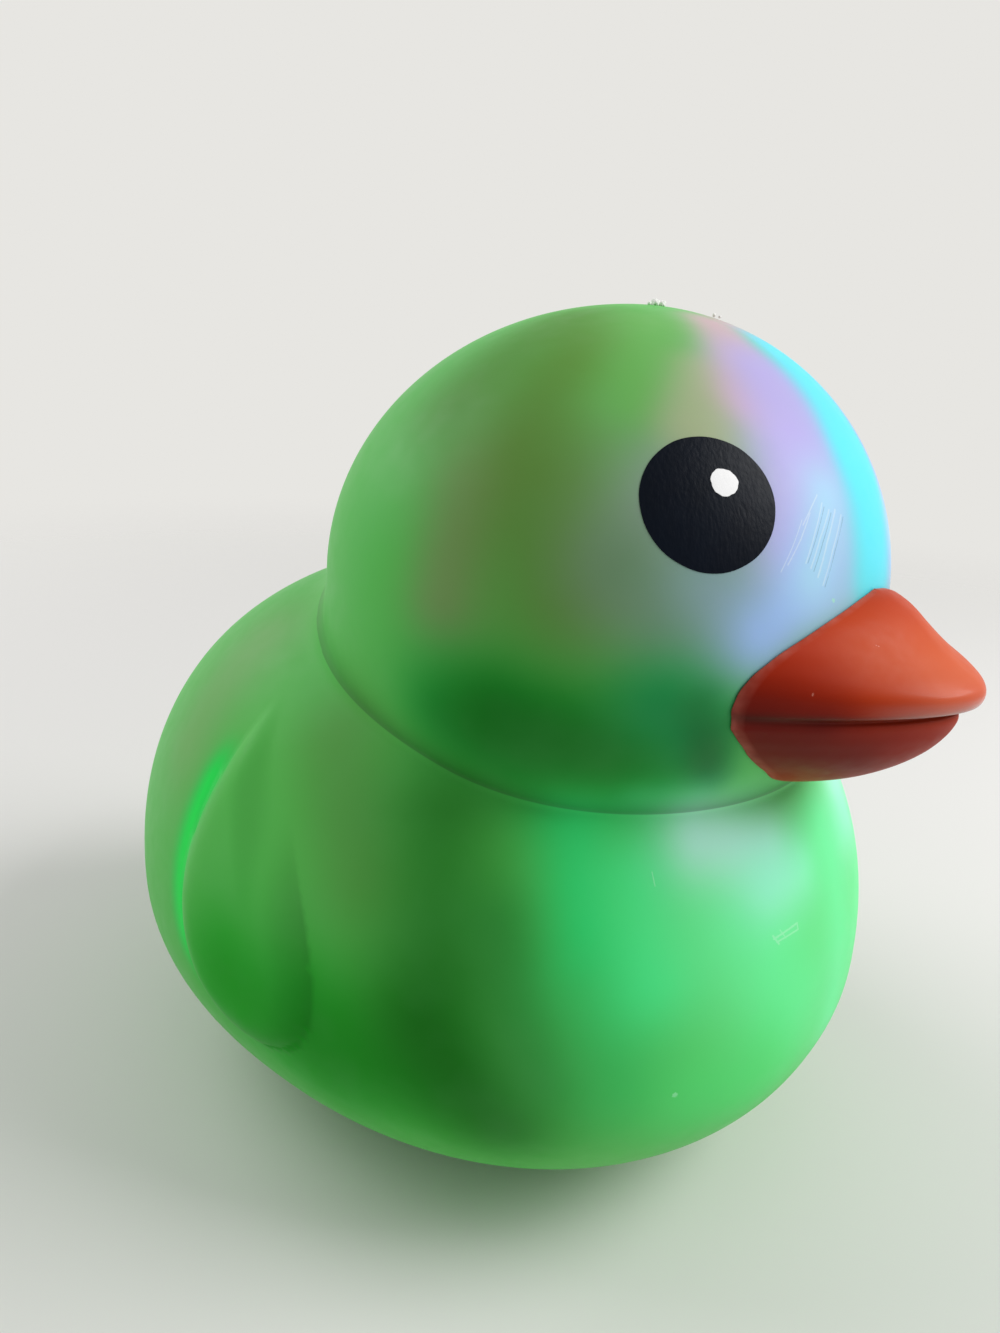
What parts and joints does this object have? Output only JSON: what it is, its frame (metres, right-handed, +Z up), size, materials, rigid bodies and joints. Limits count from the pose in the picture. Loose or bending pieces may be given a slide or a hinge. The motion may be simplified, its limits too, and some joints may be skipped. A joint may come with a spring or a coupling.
{
  "type": "rubber duck",
  "caption": "Hollow soft vinyl bath duck with a round head, raised wings, a short wedge beak, printed eyes and a squeaker in its flat base.",
  "frame": {"origin": "middle of the flat base, halfway between the tip of the beak and the tip of the tail, on the plane that the duck stands on", "axes": "+Z up, +Y from the beak to the tail, so the duck faces -Y, and +X to the duck's left"},
  "size_m": [0.1612, 0.2129, 0.1854],
  "materials": {
    "green_vinyl": "soft vinyl, sprayed in soft bands of pearly green, satin",
    "orange_vinyl": "opaque orange-red, satin",
    "navy_print": "black-navy paint, satin",
    "white_print": "white paint",
    "white_plastic": "moulded plastic, satin"
  },
  "bodies": {
    "root": {"duck_body": "green_vinyl", "beak": "orange_vinyl", "eye_right": "navy_print", "eye_left": "navy_print", "eye_glint_right": "white_print", "eye_glint_left": "white_print", "squeaker": "white_plastic"}
  },
  "joints": []
}
